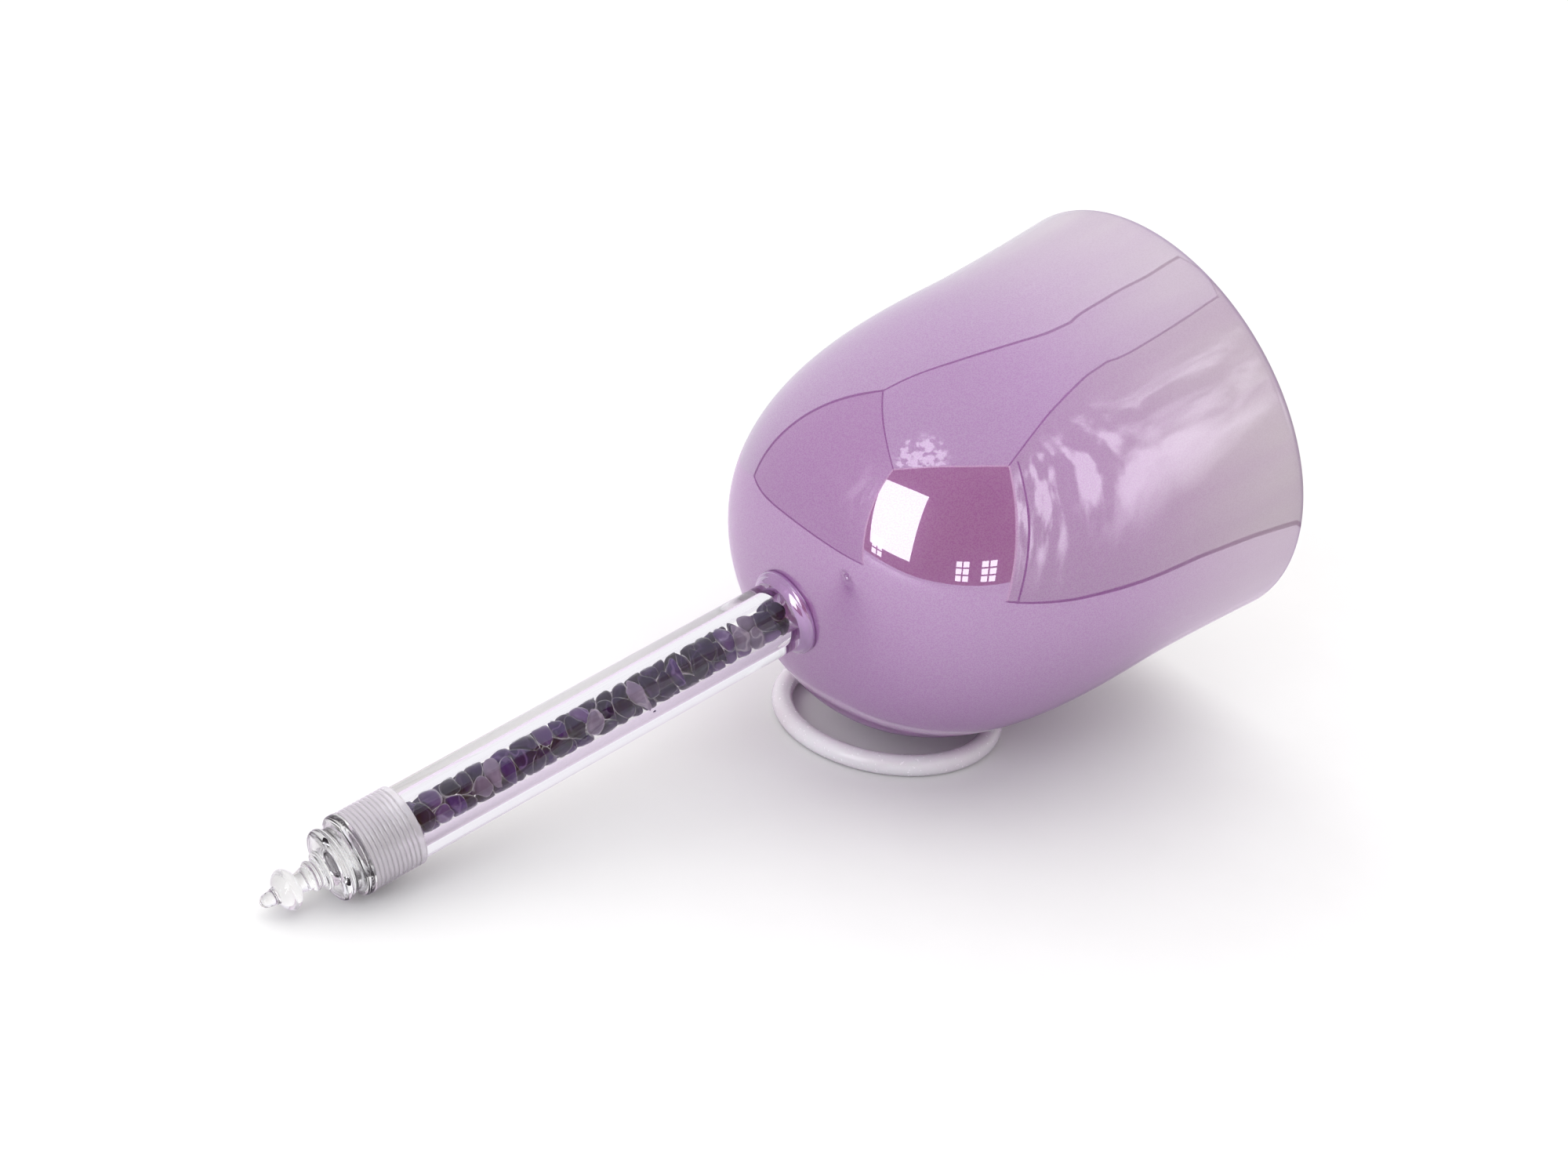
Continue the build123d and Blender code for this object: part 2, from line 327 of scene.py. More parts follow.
# The walls are one cloth, and each glows at its own strength, painted for how brightly it is lit.
panels = {
    "tent_back": ([(-1, -1, 0), (-1, 1, 0), (-1, 1, 1), (-1, -1, 1)], (0.95, 0.94, 0.99)),
    "tent_ceiling": ([(-1, -1, 1), (-1, 1, 1), (1, 1, 1), (1, -1, 1)], (0.84, 0.79, 0.88)),
    "tent_left": ([(-1, -1, 0), (1, -1, 0), (1, -1, 1), (-1, -1, 1)], (0.74, 0.64, 0.74)),
    "tent_right": ([(-1, 1, 0), (1, 1, 0), (1, 1, 1), (-1, 1, 1)], (0.74, 0.72, 0.70)),
}
folds = {
    "tent_back": ((-1, 0, 2), 0.05, 0.0),
    "tent_ceiling": ((0.80, -0.45, 1.0), 0.20, 5.0),
    "tent_left": ((0.7, -1.0, 0.5), 0.25, 0.3),
    "tent_right": ((0.55, 1.0, 0.48), 0.34, 2.1),
}
for name, (corners, shade) in panels.items():
    hang_panel(name, corners, glowing_cloth(name + "_cloth", (*shade, 1), *folds[name]))
print("tent panels:", ", ".join(panels))

# %% [markdown]
# The seams of the tent are piped with cord, which the coating shows as fine lines: pale
# pink round the open front and dark everywhere else. Each is a thin bar between two points of the tent.

# %% Sew the seams
def twist_cord(name, dark, light):
    material, tree = start_material(name)
    twists = noise(tree, object_place(tree), 90)
    end_material(tree, "ShaderNodeEmission", {"Color": blend_colours(tree, twists, dark, light)})
    return material


dark_cord = twist_cord("dark_cord", (0.02, 0.0, 0.01, 1), (0.16, 0.08, 0.11, 1))
pink_cord = twist_cord("pink_cord", (0.95, 0.72, 0.80, 1), (1.30, 1.05, 1.12, 1))


def sew_seam(name, start, end, cord, thickness):
    first, last = tent_point(*start), tent_point(*end)
    turn = (last - first).to_track_quat("Z", "Y")
    bar = bmesh.new()
    bmesh.ops.create_cube(bar, size=1)
    scale = Matrix.Diagonal((thickness, thickness, (last - first).length, 1))
    middle = Matrix.Translation((first + last) / 2)
    bmesh.ops.transform(bar, matrix=middle @ turn.to_matrix().to_4x4() @ scale, verts=bar.verts)
    mesh = bpy.data.meshes.new(name)
    bar.to_mesh(mesh)
    bar.free()
    mesh.materials.append(cord)
    show_in_gloss_only(new_piece(name, mesh))


seams = {
    "back_top": ((-1, -1, 1), (-1, 1, 1), dark_cord, 0.021),
    "back_left": ((-1, -1, 0), (-1, -1, 1), dark_cord, 0.017),
    "back_right": ((-1, 1, 0), (-1, 1, 1), dark_cord, 0.017),
    "left_top": ((-1, -1, 1), (1, -1, 1), dark_cord, 0.013),
    "right_top": ((-1, 1, 1), (1, 1, 1), dark_cord, 0.013),
    "left_floor": ((-1, -1, 0), (1, -1, 0), dark_cord, 0.011),
    "right_floor": ((-1, 1, 0), (1, 1, 0), dark_cord, 0.011),
    "front_top": ((1, -1, 1), (1, 1, 1), pink_cord, 0.009),
    "front_left": ((1, -1, 0), (1, -1, 1), pink_cord, 0.009),
    "front_right": ((1, 1, 0), (1, 1, 1), pink_cord, 0.009),
    "flap": ((0.8, 0.98, 0), (0.8, 0.98, 0.9), dark_cord, 0.006),
}
for name, (start, end, cord, thickness) in seams.items():
    sew_seam(name, start, end, cord, thickness)
print("seams:", ", ".join(seams))

# %% [markdown]
# ## The room in front of the tent
#
# Through the open front the coating sees a dim, warm room: one large dark wall, with a softbox
# beside the camera and the panes of three far windows. The softbox and panes are area lights,
# so they also put crisp highlights on the glass. A light's strength is given as how bright it
# looks, so its power follows from its size. The wall isn't seen through glass, where it would
# draw dark lines: the dome shows there instead.


# %% Build the room
room_distance = 3.2
room_wall = bpy.data.meshes.new("room_wall")
room_middle = tent_front * room_distance
wall_reach = tent_right * 9
wall_rise = Vector((0, 0, 7))
room_wall.from_pydata([
    tuple(room_middle - wall_reach),
    tuple(room_middle + wall_reach),
    tuple(room_middle + wall_reach + wall_rise),
    tuple(room_middle - wall_reach + wall_rise),
], [], [(0, 1, 2, 3)])
plaster, tree = start_material("dim_plaster")
dimness = blend_colours(
    tree, noise(tree, object_place(tree), 0.8), (0.26, 0.11, 0.04, 1), (0.38, 0.20, 0.10, 1)
)
end_material(tree, "ShaderNodeEmission", {"Color": dimness})
room_wall.materials.append(plaster)
room = new_piece("room_wall", room_wall)
room.visible_transmission = False
show_in_gloss_only(room)

lamp_target = Vector((0.03, -0.04, 0.11))
daylight = (0.90, 0.94, 1.0)


def hang_light(name, azimuth, elevation, distance, width, height, brightness):
    lamp = bpy.data.lights.new(name, "AREA")
    lamp.shape = "RECTANGLE"
    lamp.size = width
    lamp.size_y = height
    lamp.energy = brightness * math.pi * width * height
    lamp.color = daylight
    holder = bpy.data.objects.new(name, lamp)
    towards = direction(azimuth, elevation)
    holder.location = lamp_target + towards * distance
    holder.rotation_euler = towards.to_track_quat("Z", "Y").to_euler()
    scene.collection.objects.link(holder)
    return holder


hang_light("softbox", -70, 25, 1.5, 0.74, 1.08, 3.4)
pane_size = 0.15
for window, window_azimuth in enumerate((-28, -15, -80)):
    for column in range(2):
        for row in range(3):
            name = f"pane_{window}_{column}_{row}"
            pane_azimuth = window_azimuth + column * 3.8
            hang_light(name, pane_azimuth, 1.6 + row * 3.8, 2.9, pane_size, pane_size, 3.2)

# %% [markdown]
# ## A lathe made of nodes
#
# A glass blower turns these pieces, so here they are turned too. A grid has one row for each
# point of an outline and one column for each step round, and Geometry Nodes move every grid
# point to its place on the turned surface. Merging the points that meet closes the seam and the
# poles. A screw modifier could do the same, but the tree keeps the axis and the step count as
# named inputs, and one tree serves every round piece.


# %% Build the lathe
def new_tree(name, inputs):
    """A node group with the given inputs, and one output of geometry."""
    tree = bpy.data.node_groups.new(name, "GeometryNodeTree")
    for label, kind in inputs.items():
        tree.interface.new_socket(label, in_out="INPUT", socket_type="NodeSocket" + kind)
    tree.interface.new_socket("Result", in_out="OUTPUT", socket_type="NodeSocketGeometry")
    return tree, put(tree, "NodeGroupInput").outputs


def end_tree(tree, geometry, finish):
    """Real geometry in its finish, as the export needs it."""
    real = put(tree, "GeometryNodeRealizeInstances", {"Geometry": geometry})
    inputs = {"Geometry": real.outputs[0], "Material": finish}
    dressed = put(tree, "GeometryNodeSetMaterial", inputs)
    put(tree, "NodeGroupOutput", {0: dressed.outputs[0]})


lathe, given = new_tree("Lathe", {
    "Outline": "Geometry",
    "Steps round": "Int",
    "Place": "Vector",
    "Turn": "Vector",
    "Finish": "Material",
})
outline_size = put(
    lathe, "GeometryNodeAttributeDomainSize", {"Geometry": given["Outline"]}, component="MESH"
).outputs["Point Count"]
grid = put(lathe, "GeometryNodeMeshGrid", {
    "Vertices X": outline_size,
    "Vertices Y": calculate(lathe, "ADD", given["Steps round"], 1),
})
share = put(lathe, "ShaderNodeSeparateXYZ", {0: grid.outputs["UV Map"]}).outputs
last_row = calculate(lathe, "SUBTRACT", outline_size, 1)
row = calculate(lathe, "ROUND", calculate(lathe, "MULTIPLY", share["X"], last_row))
outline_point = put(lathe, "GeometryNodeSampleIndex", {
    "Geometry": given["Outline"],
    "Value": put(lathe, "GeometryNodeInputPosition").outputs[0],
    "Index": row,
}, data_type="FLOAT_VECTOR").outputs[0]
outline_part = put(lathe, "ShaderNodeSeparateXYZ", {0: outline_point}).outputs
angle = calculate(lathe, "MULTIPLY", share["Y"], 2 * math.pi)
turned_point = put(lathe, "ShaderNodeCombineXYZ", {
    "X": calculate(lathe, "MULTIPLY", outline_part["X"], calculate(lathe, "COSINE", angle)),
    "Y": calculate(lathe, "MULTIPLY", outline_part["X"], calculate(lathe, "SINE", angle)),
    "Z": outline_part["Z"],
}).outputs[0]
turned = put(lathe, "GeometryNodeSetPosition", {0: grid.outputs["Mesh"], "Position": turned_point})
closed = put(lathe, "GeometryNodeMergeByDistance", {0: turned.outputs[0], "Distance": 1e-6})
placed = put(lathe, "GeometryNodeTransform", {
    "Geometry": closed.outputs[0],
    "Translation": given["Place"],
    "Rotation": given["Turn"],
})
end_tree(lathe, placed.outputs[0], given["Finish"])
print("the lathe has", len(lathe.nodes), "nodes")

# %% [markdown]
# ## From outline to piece
#
# The outline becomes a small wire, the lathe turns it, and the evaluated result is kept as a
# plain mesh. Its normals are made to point outwards, and only real corners stay sharp: every
# other edge is shaded smooth, as fire-polished glass is.

# %% Turn an outline into a piece
sharp_corner = math.radians(40)


def apply_nodes(piece, tree, inputs):
    """Runs a node group on a piece and keeps the result as its plain mesh."""
    modifier = piece.modifiers.new(tree.name, "NODES")
    modifier.node_group = tree
    for item in tree.interface.items_tree:
        if item.in_out == "INPUT" and item.name in inputs:
            modifier[item.identifier] = inputs[item.name]
    bpy.context.view_layer.update()
    shape = piece.evaluated_get(bpy.context.evaluated_depsgraph_get())
    mesh = bpy.data.meshes.new_from_object(shape)
    piece.modifiers.remove(modifier)
    piece.data = mesh
    mesh.name = piece.name


def smooth_and_face_out(piece):
    shape = bmesh.new()
    shape.from_mesh(piece.data)
    bmesh.ops.recalc_face_normals(shape, faces=shape.faces)
    for face in shape.faces:
        face.smooth = True
    for edge in shape.edges:
        edge.smooth = edge.calc_face_angle(0.0) < sharp_corner
    open_edges = sum(1 for edge in shape.edges if not edge.is_manifold)
    shape.to_mesh(piece.data)
    shape.free()
    print(f"{piece.name}: {len(piece.data.polygons)} faces, {open_edges} open edges")


def turn_piece(node, body, outline, finish, steps=160, place=rim_centre, turn=axis_turn):
    """Turns points of (along, radius) in millimetres into a piece that replaces a CAD node."""
    wire = bpy.data.meshes.new(node)
    points = [(radius * MM, 0, along * MM) for along, radius in outline]
    wire.from_pydata(points, [(end - 1, end) for end in range(1, len(points))], [])
    piece = new_piece(node + "_turned", wire)
    apply_nodes(piece, lathe, {
        "Steps round": steps,
        "Place": tuple(place),
        "Turn": tuple(turn),
        "Finish": finish,
    })
    smooth_and_face_out(piece)
    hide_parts(node)
    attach(piece, body)
    return piece


# %% [markdown]
# ## Arcs and eased corners
#
# Nothing made of glass or silicone has a knife edge. An outline is given as a few corners, each
# with its own easing radius, and one helper puts an arc at each corner. Another gives the arc
# through three points, for beads and coves.


# %% Draw outlines
def arc_about(middle, start, sweep, steps):
    """Points on an arc about a middle point, from the start through the sweep in radians."""
    spoke = Vector(start) - Vector(middle)
    points = []
    for step in range(steps + 1):
        turned = Matrix.Rotation(sweep * step / steps, 2) @ spoke
        points.append(tuple(Vector(middle) + turned))
    return points


def arc_through(start, between, end, steps=10):
    """Points on the arc from the start to the end that passes through the point between."""
    (x1, y1), (x2, y2), (x3, y3) = start, between, end
    area = 2 * (x1 * (y2 - y3) + x2 * (y3 - y1) + x3 * (y1 - y2))
    s1, s2, s3 = x1 * x1 + y1 * y1, x2 * x2 + y2 * y2, x3 * x3 + y3 * y3
    middle = (
        (s1 * (y2 - y3) + s2 * (y3 - y1) + s3 * (y1 - y2)) / area,
        (s1 * (x3 - x2) + s2 * (x1 - x3) + s3 * (x2 - x1)) / area,
    )
    from_angle = math.atan2(y1 - middle[1], x1 - middle[0])
    sweep = math.atan2(y3 - middle[1], x3 - middle[0]) - from_angle
    if area > 0:
        sweep %= 2 * math.pi
    else:
        sweep = -(-sweep % (2 * math.pi))
    return arc_about(middle, start, sweep, steps)


def eased(corners, closed=True, steps=5):
    """Corners of (along, radius, easing) become points, with an arc at each eased corner."""
    points = []
    for index, (along, radius, easing) in enumerate(corners):
        corner = Vector((along, radius))
        if easing == 0:
            points.append(tuple(corner))
            continue
        back = (Vector(corners[index - 1][:2]) - corner).normalized()
        ahead = (Vector(corners[(index + 1) % len(corners)][:2]) - corner).normalized()
        half_angle = back.angle(ahead) / 2
        reach = easing / math.tan(half_angle)
        middle = corner + (back + ahead).normalized() * easing / math.sin(half_angle)
        side = 1 if back.x * ahead.y - back.y * ahead.x < 0 else -1
        sweep = side * (math.pi - 2 * half_angle)
        points += arc_about(middle, corner + back * reach, sweep, steps)
    return points + points[:1] if closed else points


print("a quarter circle in 8 steps has", len(arc_about((0, 0), (1, 0), math.pi / 2, 8)), "points")

# %% [markdown]
# ## Patterns that follow the axis
#
# A coating runs down a blown bowl and a drawn tube has fine lines along its length, so their
# patterns need the object's own axis. A Mapping node turns Object coordinates into that frame:
# Z is the distance along the axis, and X and Y lie across it, all in metres.


# %% Read a place in the axis frame
def axis_frame(tree):
    here = object_place(tree)
    inputs = {"Vector": here, "Location": rim_centre, "Rotation": axis_turn}
    return put(tree, "ShaderNodeMapping", inputs, vector_type="TEXTURE").outputs[0]


def bump(tree, height, distance, strength=1.0):
    inputs = {"Height": height, "Distance": distance, "Strength": strength}
    return put(tree, "ShaderNodeBump", inputs).outputs[0]


# %% [markdown]
# ## The coated bowl
#
# The bowl is blown quartz. A metal-oxide lustre is fused to it, which tints it lilac, leaves it
# half see-through like frosted glass, and mirrors the room sharply on top. So the finish is a
# rough, half transmitting base under a smooth coat with a high index, and the shell is a real
# wall with two surfaces: where the line of sight crosses both walls of the bowl the lilac is
# deeper than where it leaves through the mouth. The lilac is also painted paler towards the rim,
# as painted light coming in through the mouth, and pale streaks along the axis in that band are
# painted reflections. The lustre has a fine grain.


# %% Mix the lustre
def mix_lustre(name, deep, pale, transmission, roughness, coat_ior):
    material, tree = start_material(name)
    place = axis_frame(tree)
    along = put(tree, "ShaderNodeSeparateXYZ", {0: place}).outputs["Z"]
    # Painted light: the lilac turns paler towards the rim for light through the mouth, and pale streaks
    # there stand in for reflections.
    painted_mouth_light = smooth_step(tree, along, 0.095, 0.0)
    painted_reflection_streaks = noise(tree, place, 55, 3, (1, 1, 0.16))
    clouds = noise(tree, place, 9, 2)
    painted_light_share = calculate(tree, "MULTIPLY", painted_mouth_light, calculate(tree, "ADD", painted_reflection_streaks, 0.45))
    tint_with_painted_light = blend_colours(tree, painted_light_share, deep, pale)
    cloudy = blend_colours(
        tree, calculate(tree, "MULTIPLY", clouds, 0.35), tint_with_painted_light, (0.48, 0.24, 0.60, 1)
    )
    grain = smooth_step(tree, noise(tree, place, 2200, 1), 0.35, 0.62)
    grainy = blend_colours(
        tree, calculate(tree, "MULTIPLY", grain, 0.15), cloudy, (0.90, 0.80, 0.93, 1)
    )
    lip = smooth_step(tree, along, 0.0026, 0.0012)
    edged = blend_colours(tree, calculate(tree, "MULTIPLY", lip, 0.75), grainy, (0.30, 0.14, 0.36, 1))
    waviness = bump(tree, noise(tree, place, 26, 1), 0.0006, 0.35)
    end_material(tree, "ShaderNodeBsdfPrincipled", {
        "Base Color": edged,
        "Roughness": roughness,
        "IOR": 1.46,
        "Transmission Weight": transmission,
        "Normal": bump(tree, grain, 0.00002, 0.4),
        "Coat Weight": 1.0,
        "Coat Roughness": 0.008,
        "Coat IOR": coat_ior,
        "Coat Normal": waviness,
    })
    return material


lustre = mix_lustre("lilac_lustre", (0.42, 0.112, 0.45, 1), (0.65, 0.54, 0.58, 1), 0.55, 0.34, 2.9)
print("the lustre has", len(lustre.node_tree.nodes), "nodes")

# %% [markdown]
# ## Turn the bowl
#
# The outline follows one rule. From the rim the wall closes in along a gentle curve, and
# then the dome is a superellipse, squarer than a ball. The inside is the same rule moved in by
# the wall, and a half round lip joins them.

# %% Make the bowl
bowl_radius = 76.6
mouth_flare = 2.9
mouth_curve = 1.4
dome_squareness = 2.80
bowl_wall = 3.0
lip_radius = bowl_wall / 2


def bowl_side(inset, mouth_steps=26, dome_steps=44):
    """Points from the rim to the apex, on the outside or moved in by the inset."""
    points = []
    for step in range(mouth_steps):
        along = lip_radius + (mouth_depth - lip_radius) * step / mouth_steps
        flare = mouth_flare * (1 - along / mouth_depth) ** mouth_curve
        points.append((along, bowl_radius - inset + flare))
    power = 2 / dome_squareness
    for step in range(dome_steps):
        angle = math.pi / 2 * step / dome_steps
        along = mouth_depth + (dome_depth - inset) * math.sin(angle) ** power
        points.append((along, (bowl_radius - inset) * math.cos(angle) ** power))
    return points + [(apex - inset, 0)]


outside = bowl_side(0)
inside = bowl_side(bowl_wall)
lip_middle = (outside[0][0], (outside[0][1] + inside[0][1]) / 2)
lip = arc_about(lip_middle, outside[0], math.pi, 14)[1:-1]
bowl_outline = outside[::-1] + lip + inside
turn_piece("bowl_shell", "bowl", bowl_outline, lustre, steps=300)

# %% [markdown]
# ## The root bead
#
# Where the tube is fused to the dome, hot glass has flowed into a bead. It carries the same
# lustre over a smoother base, so it looks glossier.

# %% Make the root bead
tube_radius = 12.5
bead_bottom = apex - 0.35
bead_foot = (bead_bottom + 0.15, 15.2)
bead_shoulder = (bead_bottom + 2.6, 14.3)
bead_top = (bead_bottom + 4.6, tube_radius + 0.02)
bead_lustre = mix_lustre(
    "bead_lustre", (0.40, 0.13, 0.48, 1), (0.66, 0.50, 0.62, 1), 0.6, 0.16, 2.9
)
bead_outline = [(bead_bottom + 0.5, tube_radius + 0.02)]
bead_outline += arc_through(bead_foot, (bead_bottom + 1.3, 15.35), bead_shoulder, 10)
bead_outline += arc_through(bead_shoulder, (bead_bottom + 3.9, 13.4), bead_top, 8)[1:]
bead_outline.append(bead_outline[0])
turn_piece("root_bead", "bowl", bead_outline, bead_lustre)

# %% [markdown]
# ## Clear glass
#
# The tube, its end ring and the stopper are clear lamp-worked glass: a real refractive solid
# with an index of 1.46. It has barely any colour. What makes it look like glass is the wall's
# thickness, the air in the bore, and fine draw lines that catch the light. Its surface reflects
# about a quarter of what real glass does, and the stones' about a third of what real quartz
# does, so that the tent's mirror image doesn't veil the dark stones.


# %% Melt the glass
def melt_glass(name, tint, draw_lines):
    material, tree = start_material(name)
    place = axis_frame(tree)
    lines = noise(tree, place, 260, 2, (1, 1, draw_lines))
    haze = smooth_step(tree, noise(tree, place, 45, 3), 0.55, 0.8)
    shade = blend_colours(tree, haze, (1, 1, 1, 1), tint)
    end_material(tree, "ShaderNodeBsdfPrincipled", {
        "Base Color": shade,
        "Roughness": calculate(tree, "MULTIPLY", haze, 0.012),
        "IOR": 1.46,
        "Specular IOR Level": 0.12,
        "Transmission Weight": 1.0,
        "Normal": bump(tree, lines, 0.00003, 0.12),
    })
    return material


drawn_glass = melt_glass("drawn_glass", (0.965, 0.975, 0.975, 1), 0.02)
worked_glass = melt_glass("worked_glass", (0.955, 0.97, 0.965, 1), 0.6)
print("two glasses:", drawn_glass.name, "and", worked_glass.name)

# %% [markdown]
# ## The tube and its end ring
#
# Both are plain rings in section, with their cut edges fire-polished round. The tube and the
# stones in it are left out of mirror images, where they drew a wide dark cone beside the bead.
# A real dome does mirror its handle, so this is a choice of look.

# %% Make the tube and its end ring
bore_radius = 6.4
tube_start = apex + 0.02
tube_outline = eased([
    (tube_start, bore_radius, 0.2),
    (tube_end - 0.02, bore_radius, 0.2),
    (tube_end - 0.02, tube_radius, 0.2),
    (tube_start, tube_radius, 0.2),
])
tube = turn_piece("handle_tube", "bowl", tube_outline, drawn_glass)
tube.visible_glossy = False

ring_end = tube_end + 3.5
ring_outline = eased([
    (tube_end, bore_radius, 0.4),
    (ring_end, bore_radius, 0.4),
    (ring_end, 13.75, 1.5),
    (tube_end, 13.75, 0.5),
])
turn_piece("end_ring", "bowl", ring_outline, worked_glass)

# %% [markdown]
# ## The stopper
#
# It is turned from one rod: a spigot with two grooves, a flange, a step, a cove, a bead, a
# neck, a round knob and a small tip. Its outline is a chain of arcs, as a lamp worker would
# shape it, from the tip back into the tube.

# %% Make the stopper
spigot_end = ring_end - 8.4
spigot_radius = 5.8
groove_floor = 4.13
groove_width = 2.5
groove_starts = (spigot_end + 1.1, spigot_end + 4.5)
flange_start = ring_end + 1.92
flange_middle = flange_start + 2.6
flange_end = flange_start + 4.9
flange_radius = 12.2
flange_edge = 9.9
knob_middle = flange_middle + 16.0
tip_end = 371.0
tip_radius = 2.2

spigot = [(spigot_end, 0, 0), (spigot_end, spigot_radius, 0.6)]
for groove in groove_starts:
    spigot += [
        (groove, spigot_radius, 0.15),
        (groove, groove_floor, 0.3),
        (groove + groove_width, groove_floor, 0.3),
        (groove + groove_width, spigot_radius, 0.15),
    ]
spigot += [(flange_start, spigot_radius, 0.1), (flange_start, flange_edge, 0)]
stopper_outline = eased(spigot, closed=False)
stopper_outline += arc_through(
    (flange_start + 0.3, flange_edge), (flange_middle, flange_radius), (flange_end, flange_edge), 16
)
step_top = (flange_end + 0.9, 6.6)
step_end = (flange_end + 2.2, 5.7)
cove_end = (flange_end + 3.9, 4.4)
bead_end = (flange_end + 6.1, 4.1)
knob_start = (knob_middle - 3.65, 3.1)
knob_top = (knob_middle, 6.9)
knob_end = (knob_middle + 3.5, 2.9)
tip_start = (tip_end - tip_radius, tip_radius)
stopper_outline += arc_through(step_top, (flange_end + 1.8, 6.5), step_end)
stopper_outline += arc_through(step_end, (flange_end + 2.8, 4.6), cove_end)[1:]
stopper_outline += arc_through(cove_end, (flange_end + 5.0, 5.1), bead_end)[1:]
stopper_outline += arc_through(knob_start, (knob_middle - 2.3, 5.7), knob_top)
stopper_outline += arc_through(knob_top, (knob_middle + 2.4, 5.4), knob_end)[1:]
stopper_outline += arc_about((tip_end - tip_radius, 0), tip_start, -math.pi / 2, 8)
turn_piece("stopper", "stopper", stopper_outline, worked_glass)

# %% [markdown]
# ## Silicone and the rest ring
#
# The seals are rings of slightly smoky silicone that show through the glass. The gasket is
# clear, soft silicone. The sleeve is ribbed, frosted silicone that grips the end of the tube.
# The rest ring is milky silicone with a wet-looking skin: light goes into it and scatters.


# %% Cast the soft parts
def cast_silicone(name, milk, cloud, transmission, roughness, scatter, coat):
    material, tree = start_material(name)
    here = object_place(tree)
    clouds = smooth_step(tree, noise(tree, here, 60, 3), 0.35, 0.7)
    dust = noise(tree, here, 900, 2)
    end_material(tree, "ShaderNodeBsdfPrincipled", {
        "Base Color": blend_colours(tree, clouds, milk, cloud),
        "Roughness": calculate(tree, "ADD", calculate(tree, "MULTIPLY", dust, 0.08), roughness),
        "IOR": 1.42,
        "Transmission Weight": transmission,
        "Subsurface Weight": scatter,
        "Subsurface Radius": (1.0, 0.85, 0.95),
        "Subsurface Scale": 0.006,
        "Normal": bump(tree, dust, 0.00003, 0.25),
        "Coat Weight": coat,
        "Coat Roughness": 0.08,
    })
    return material


ring_silicone = cast_silicone(
    "milky_silicone", (0.86, 0.80, 0.84, 1), (0.91, 0.87, 0.90, 1), 0.15, 0.22, 0.85, 0.6
)
sleeve_silicone = cast_silicone(
    "frosted_silicone", (0.80, 0.77, 0.80, 1), (0.90, 0.88, 0.90, 1), 0.62, 0.13, 0.0, 1.0
)
gasket_silicone = cast_silicone(
    "clear_silicone", (0.94, 0.94, 0.94, 1), (0.98, 0.98, 0.98, 1), 0.96, 0.06, 0.0, 0.0
)
seal_silicone = cast_silicone(
    "smoky_silicone", (0.55, 0.52, 0.58, 1), (0.66, 0.63, 0.68, 1), 0.75, 0.12, 0.0, 0.0
)
print("soft finishes: ring, sleeve, gasket and seals")

# %% [markdown]
# ## Turn the soft parts
#
# The sleeve's ribs are repeated along its outline, and the lathe carries them round. The rest
# ring is turned too, but about an upright axis of its own, with a flat where it stands. The
# seals' CAD shape is already right, so they stay and only get their silicone.

# %% Make the sleeve, gasket and rest ring
sleeve_start = 319.2
sleeve_end = tube_end - 0.02
sleeve_radius = 13.6
sleeve_root = 13.0
sleeve_bore = tube_radius + 0.02
rib_count = 10
rib_pitch = 1.6
ribs_start = sleeve_end - rib_count * rib_pitch

sleeve_outline = [(sleeve_start, sleeve_bore), (sleeve_start, tube_radius + 0.3)]
sleeve_outline += arc_through(
    (sleeve_start, tube_radius + 0.3),
    (sleeve_start + 0.35, sleeve_radius - 0.25),
    (sleeve_start + 1.2, sleeve_radius),
    6,
)[1:]
sleeve_outline.append((ribs_start - 0.3, sleeve_radius))
for rib in range(rib_count):
    rib_start = ribs_start + rib * rib_pitch
    rib_middle = (rib_start + rib_pitch / 2, sleeve_radius)
    rib_end = (rib_start + rib_pitch, sleeve_root)
    sleeve_outline += arc_through((rib_start, sleeve_root), rib_middle, rib_end, 7)[:-1]
sleeve_outline += [(sleeve_end, sleeve_root), (sleeve_end, sleeve_bore), (sleeve_start, sleeve_bore)]
turn_piece("ribbed_sleeve", "bowl", sleeve_outline, sleeve_silicone)

gasket_outline = eased([
    (ring_end + 0.02, spigot_radius + 0.02, 0.1),
    (flange_start - 0.02, spigot_radius + 0.02, 0.1),
    (flange_start - 0.02, 10.9, 0.6),
    (ring_end + 0.02, 10.9, 0.6),
])
turn_piece("stopper_gasket", "stopper", gasket_outline, gasket_silicone)

rest_low, rest_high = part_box("rest_ring")
rest_section = 3.8
rest_height = (rest_high.z / MM) - rest_section
rest_radius = (rest_high.x - rest_low.x) / MM / 2 - rest_section
rest_middle = (rest_low + rest_high) / 2
flat_angle = math.acos(rest_height / rest_section)
rest_outline = arc_about(
    (rest_height, rest_radius),
    (0, rest_radius - rest_section * math.sin(flat_angle)),
    2 * math.pi - 2 * flat_angle,
    40,
)
rest_outline.append(rest_outline[0])
turn_piece(
    "rest_ring", "ring", rest_outline, ring_silicone, 200,
    (rest_middle.x, rest_middle.y, 0), (0, 0, 0),
)

# %% Dress the seals
seals = frame["nodes"]["stopper_seals"]
seals.data.materials.clear()
seals.data.materials.append(seal_silicone)
print("the seals keep their", len(seals.data.polygons), "faces")

# %% [markdown]
# ## Amethyst and quartz
#
# The filling is tumbled stone: amethyst from nearly black aubergine to pale lilac, with a few
# milky quartz chips. Each stone has its own depth of colour, cloudy zones, and pale veins where
# it healed, under a polish. A number stored on each stone by the tumbler sets how deep it
# is; noise in Object coordinates draws the zones and veins.


